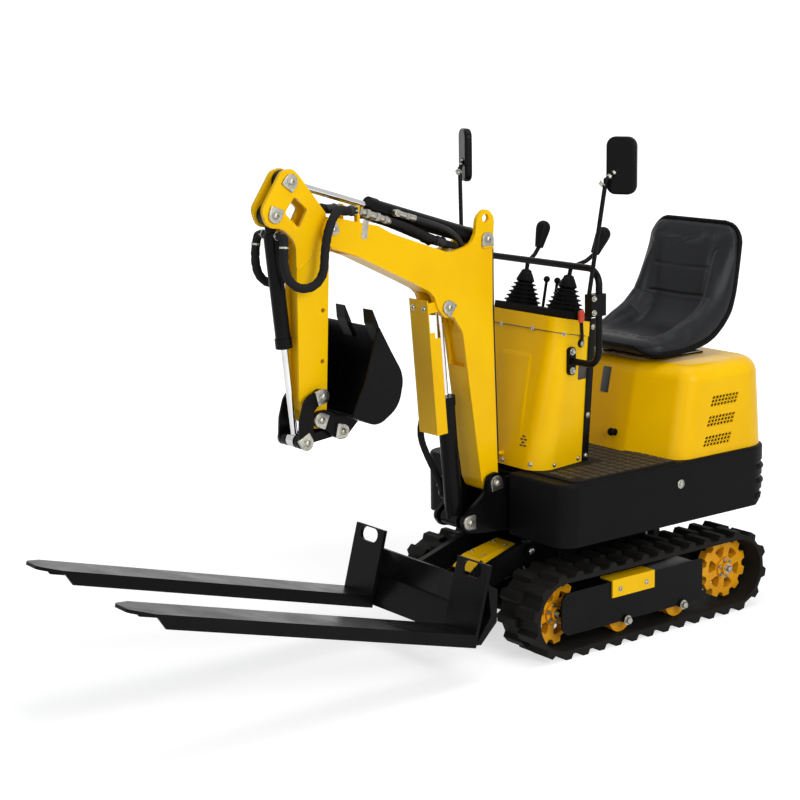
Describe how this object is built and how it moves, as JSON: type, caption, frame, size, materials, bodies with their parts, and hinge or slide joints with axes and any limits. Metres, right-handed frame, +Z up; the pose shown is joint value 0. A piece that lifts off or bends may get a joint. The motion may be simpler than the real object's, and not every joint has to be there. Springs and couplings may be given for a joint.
{
  "type": "mini excavator",
  "caption": "Micro tracked excavator with boom, arm, toothed bucket, open seat and lever console, and a dozer blade that carries pallet forks.",
  "frame": {"origin": "on the ground, at the middle of the footprint of the whole machine with its forks", "axes": "+X forward along the forks, +Y to the left of the machine, +Z up"},
  "size_m": [2.5026, 0.8538, 1.65],
  "materials": {
    "yellow_paint": "gloss yellow machine paint",
    "orange_paint": "satin orange yellow paint on castings",
    "black_paint": "satin black paint",
    "black_plastic": "moulded black plastic",
    "rubber": "matt black rubber",
    "chrome": "hard chrome plated rod",
    "seat_vinyl": "black vinyl",
    "engine_iron": "painted cast iron"
  },
  "bodies": {
    "undercarriage": {"undercarriage_frame": "black_paint", "left_track": "rubber", "left_sprocket": "orange_paint", "left_idler": "orange_paint", "left_side_beam": "black_paint", "left_front_roller": "orange_paint", "left_rear_roller": "orange_paint", "left_skid": "yellow_paint", "right_track": "rubber", "right_sprocket": "orange_paint", "right_idler": "orange_paint", "right_side_beam": "black_paint", "right_front_roller": "orange_paint", "right_rear_roller": "orange_paint", "right_skid": "yellow_paint"},
    "house": {"upper_frame": "black_paint", "skirt": "black_plastic", "floor_mat": "rubber", "hood": "yellow_paint", "engine": "engine_iron", "seat": "seat_vinyl", "seat_slide": "black_paint", "console": "yellow_paint", "control_tray": "rubber", "left_joystick": "black_plastic", "right_joystick": "black_plastic", "handrail": "black_paint", "left_mirror": "black_plastic", "right_mirror": "black_plastic"},
    "blade_assembly": {"blade": "black_paint", "left_fork": "black_paint", "right_fork": "black_paint", "blade_cylinder_guard": "yellow_paint"},
    "blade_barrel": {"blade_cylinder_barrel": "black_paint"},
    "blade_rod": {"blade_cylinder_rod": "chrome"},
    "boom_body": {"boom": "yellow_paint", "boom_cylinder_guard": "yellow_paint", "left_bucket_hose": "rubber", "right_bucket_hose": "rubber"},
    "boom_barrel": {"boom_cylinder_barrel": "black_paint"},
    "boom_rod": {"boom_cylinder_rod": "chrome"},
    "arm_barrel": {"arm_cylinder_barrel": "black_paint"},
    "arm_rod": {"arm_cylinder_rod": "chrome"},
    "arm_body": {"arm": "yellow_paint"},
    "bucket_barrel": {"bucket_cylinder_barrel": "black_paint"},
    "bucket_rod": {"bucket_cylinder_rod": "chrome"},
    "rocker_body": {"rocker": "black_paint"},
    "link_body": {"link": "black_paint"},
    "bucket_body": {"bucket": "black_paint"}
  },
  "joints": [
    {"name": "slew", "type": "hinge", "parent": "undercarriage", "child": "house", "pos_m": [-0.6904, 0, 0.345], "axis": [0, 0, 1], "continuous": true},
    {"name": "boom_lift", "type": "hinge", "parent": "house", "child": "boom_body", "pos_m": [-0.2284, 0, 0.542], "axis": [0, -1, 0], "range_deg": [-88, 8]},
    {"name": "arm_crowd", "type": "hinge", "parent": "boom_body", "child": "arm_body", "pos_m": [0.3766, 0, 1.407], "axis": [0, 1, 0], "range_deg": [-85, 20]},
    {"name": "bucket_curl", "type": "hinge", "parent": "arm_body", "child": "bucket_body", "pos_m": [0.4346, 0, 0.838], "axis": [0, 1, 0], "range_deg": [-140, 8]},
    {"name": "blade_lift", "type": "hinge", "parent": "undercarriage", "child": "blade_assembly", "pos_m": [-0.3164, 0, 0.312], "axis": [0, -1, 0], "range_deg": [-24, 10]},
    {"name": "boom_barrel_turn", "type": "hinge", "parent": "house", "child": "boom_barrel", "pos_m": [-0.1154, 0, 0.428], "axis": [0, -1, 0], "range_deg": [-86.5, 7.87]},
    {"name": "boom_rod_slide", "type": "slide", "parent": "boom_barrel", "child": "boom_rod", "axis": [0.0797, 0, 0.9968], "range_m": [-0.22463, 0.02043]},
    {"name": "arm_barrel_turn", "type": "hinge", "parent": "boom_body", "child": "arm_barrel", "pos_m": [-0.2184, 0, 1.329], "axis": [0, -1, 0], "range_deg": [-2.58, 10.97]},
    {"name": "arm_rod_slide", "type": "slide", "parent": "arm_barrel", "child": "arm_rod", "axis": [0.9554, 0, 0.2953], "range_m": [-0.22462, 0.05286]},
    {"name": "bucket_barrel_turn", "type": "hinge", "parent": "arm_body", "child": "bucket_barrel", "pos_m": [0.5666, 0, 1.46], "axis": [0, -1, 0], "range_deg": [-0.47, 8.26]},
    {"name": "bucket_rod_slide", "type": "slide", "parent": "bucket_barrel", "child": "bucket_rod", "axis": [-0.1035, 0, -0.9946], "range_m": [-0.15884, 0.00909]},
    {"name": "rocker_turn", "type": "hinge", "parent": "arm_body", "child": "rocker_body", "pos_m": [0.4336, 0, 0.912], "axis": [0, -1, 0], "range_deg": [-4.38, 76.58]},
    {"name": "link_turn", "type": "hinge", "parent": "rocker_body", "child": "link_body", "pos_m": [0.4956, 0, 0.778], "axis": [0, -1, 0], "range_deg": [-0.15, 2.66]},
    {"name": "blade_barrel_turn", "type": "hinge", "parent": "undercarriage", "child": "blade_barrel", "pos_m": [-0.3614, 0, 0.206], "axis": [0, -1, 0], "range_deg": [-21.13, 8.81]},
    {"name": "blade_rod_slide", "type": "slide", "parent": "blade_barrel", "child": "blade_rod", "axis": [1, 0, 0], "range_m": [-0.04568, 0.01904]}
  ],
  "couplings": [
    {"joint": "boom_barrel_turn", "follows": "boom_lift", "ratio": 0.983},
    {"joint": "boom_rod_slide", "follows": "boom_lift", "m_per_rad": 0.14625},
    {"joint": "arm_barrel_turn", "follows": "arm_crowd", "ratio": -0.129},
    {"joint": "arm_rod_slide", "follows": "arm_crowd", "m_per_rad": 0.1514},
    {"joint": "bucket_barrel_turn", "follows": "bucket_curl", "ratio": -0.059},
    {"joint": "bucket_rod_slide", "follows": "bucket_curl", "m_per_rad": 0.065002},
    {"joint": "rocker_turn", "follows": "bucket_curl", "ratio": -0.547},
    {"joint": "link_turn", "follows": "bucket_curl", "ratio": -0.019},
    {"joint": "blade_barrel_turn", "follows": "blade_lift", "ratio": 0.8805},
    {"joint": "blade_rod_slide", "follows": "blade_lift", "m_per_rad": 0.10903}
  ]
}
